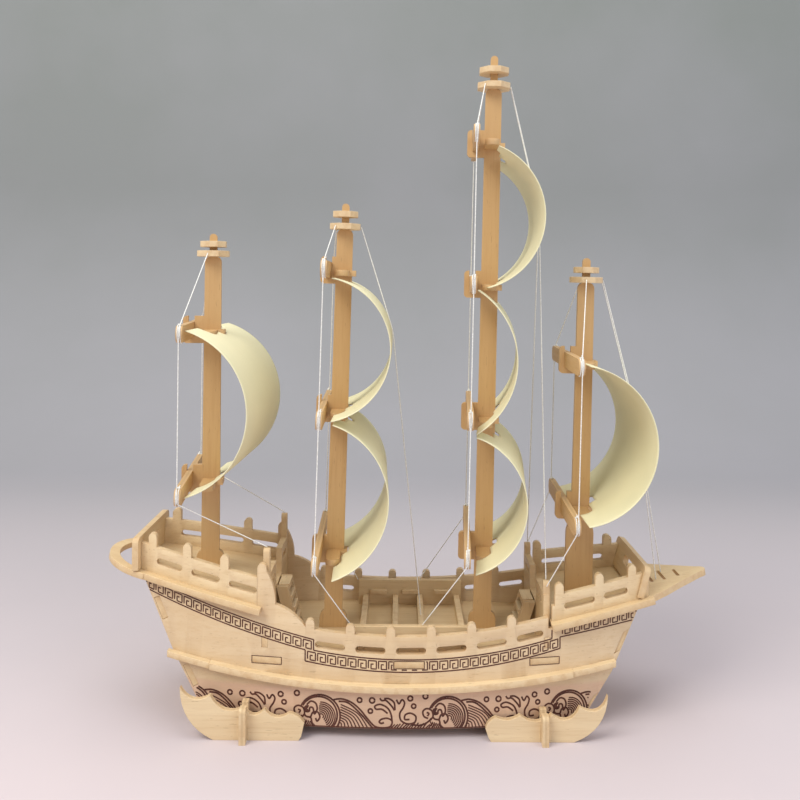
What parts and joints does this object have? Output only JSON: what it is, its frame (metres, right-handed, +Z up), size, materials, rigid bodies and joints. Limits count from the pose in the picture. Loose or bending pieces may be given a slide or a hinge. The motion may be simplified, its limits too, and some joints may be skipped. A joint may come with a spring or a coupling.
{
  "type": "wooden 3d jigsaw model",
  "caption": "Slot-together plywood model of a masted sailing ship with bulging paper sails and thread rigging, standing on wave-shaped stands.",
  "frame": {"origin": "middle of the model's footprint on the table, at the bottom of the two stands", "axes": "+X towards the bow, +Y to port, +Z up"},
  "size_m": [0.3069, 0.0958, 0.3316],
  "materials": {
    "plywood_pale": "matte",
    "plywood_warm": "matte",
    "sail_paper": "matte",
    "thread": "matte"
  },
  "bodies": {
    "stands": {"aft_stand_waves": "plywood_pale", "aft_stand_cross": "plywood_pale", "fore_stand_waves": "plywood_pale", "fore_stand_cross": "plywood_pale"},
    "ship": {"hull_side_starboard": "plywood_pale", "hull_side_port": "plywood_pale", "keel_spine": "plywood_pale", "bottom_plate": "plywood_pale", "bulkheads": "plywood_pale", "stern_plates": "plywood_pale", "bow_plates": "plywood_pale", "main_deck": "plywood_pale", "poop_deck": "plywood_pale", "fore_deck": "plywood_pale", "poop_rail_starboard": "plywood_pale", "poop_rail_port": "plywood_pale", "stern_rail": "plywood_pale", "poop_break_wall": "plywood_pale", "fore_rail_starboard": "plywood_pale", "fore_rail_port": "plywood_pale", "bow_rail": "plywood_pale", "fore_break_wall": "plywood_pale", "poop_stair_stringers": "plywood_pale", "poop_stair_treads": "plywood_pale", "fore_stair_stringers": "plywood_pale", "fore_stair_treads": "plywood_pale", "hatch_sides": "plywood_pale", "hatch_cross_plates": "plywood_pale", "hatch_ledges": "plywood_pale", "strake_starboard": "plywood_pale", "strake_port": "plywood_pale", "strake_ends_starboard": "plywood_pale", "strake_ends_port": "plywood_pale", "mizzen_mast": "plywood_warm", "second_mast": "plywood_warm", "main_mast": "plywood_warm", "fore_mast": "plywood_warm", "mizzen_discs": "plywood_pale", "second_discs": "plywood_pale", "main_discs": "plywood_pale", "fore_discs": "plywood_pale", "mizzen_spars": "plywood_warm", "second_spars": "plywood_warm", "main_spars": "plywood_warm", "fore_spars": "plywood_warm", "mizzen_crosstrees": "plywood_warm", "second_crosstrees": "plywood_warm", "main_crosstrees": "plywood_warm", "fore_crosstrees": "plywood_warm", "mizzen_sail": "sail_paper", "second_upper_sail": "sail_paper", "second_lower_sail": "sail_paper", "main_upper_sail": "sail_paper", "main_middle_sail": "sail_paper", "main_lower_sail": "sail_paper", "fore_sail": "sail_paper", "mizzen_rigging": "thread", "second_rigging": "thread", "main_rigging": "thread", "fore_rigging": "thread"}
  },
  "joints": [
    {"name": "ship_lift", "type": "slide", "parent": "stands", "child": "ship", "axis": [0, 0, 1], "range_m": [0, 0.05]}
  ]
}
